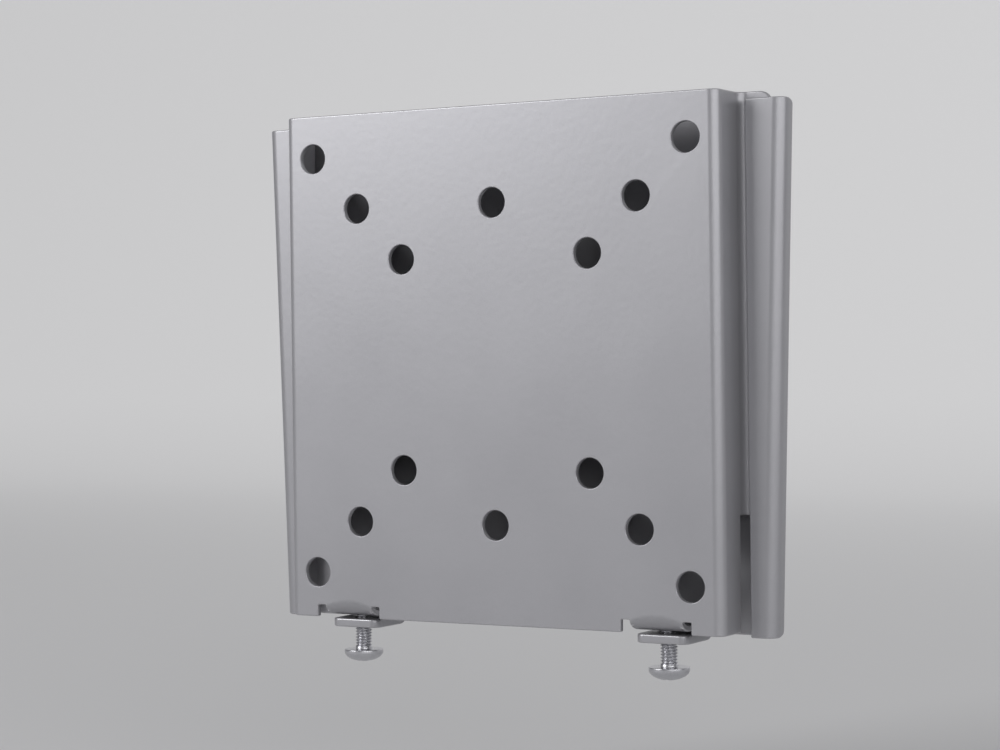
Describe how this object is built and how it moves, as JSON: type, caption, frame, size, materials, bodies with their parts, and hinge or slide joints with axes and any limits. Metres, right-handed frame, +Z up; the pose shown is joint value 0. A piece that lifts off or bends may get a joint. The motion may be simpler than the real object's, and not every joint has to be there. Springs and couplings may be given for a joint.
{
  "type": "fixed monitor wall mount",
  "caption": "Low-profile fixed wall mount for a flat monitor: a tapered wall channel, a hat-section monitor plate that drops into its rails, and lock screws at the foot.",
  "frame": {"origin": "on the wall plane, behind the centre of the monitor hole patterns", "axes": "+X to the right seen from the room, +Y into the wall, +Z up; the monitor is on the -Y side"},
  "size_m": [0.1398, 0.0164, 0.1322],
  "materials": {
    "painted_steel": "satin silver-grey powder paint on steel sheet",
    "plated_steel": "bright zinc plate"
  },
  "bodies": {
    "wall": {"wall_plate": "painted_steel"},
    "monitor": {"monitor_plate": "painted_steel"},
    "screw_left": {"lock_screw_left": "plated_steel"},
    "screw_right": {"lock_screw_right": "plated_steel"}
  },
  "joints": [
    {"name": "monitor_lift", "type": "slide", "parent": "wall", "child": "monitor", "axis": [0, 0, 1], "range_m": [0, 0.125]},
    {"name": "lock_left", "type": "slide", "parent": "wall", "child": "screw_left", "axis": [0, 0, 1], "range_m": [-0.01, 0.0056]},
    {"name": "lock_right", "type": "slide", "parent": "wall", "child": "screw_right", "axis": [0, 0, 1], "range_m": [-0.01, 0.0056]}
  ]
}
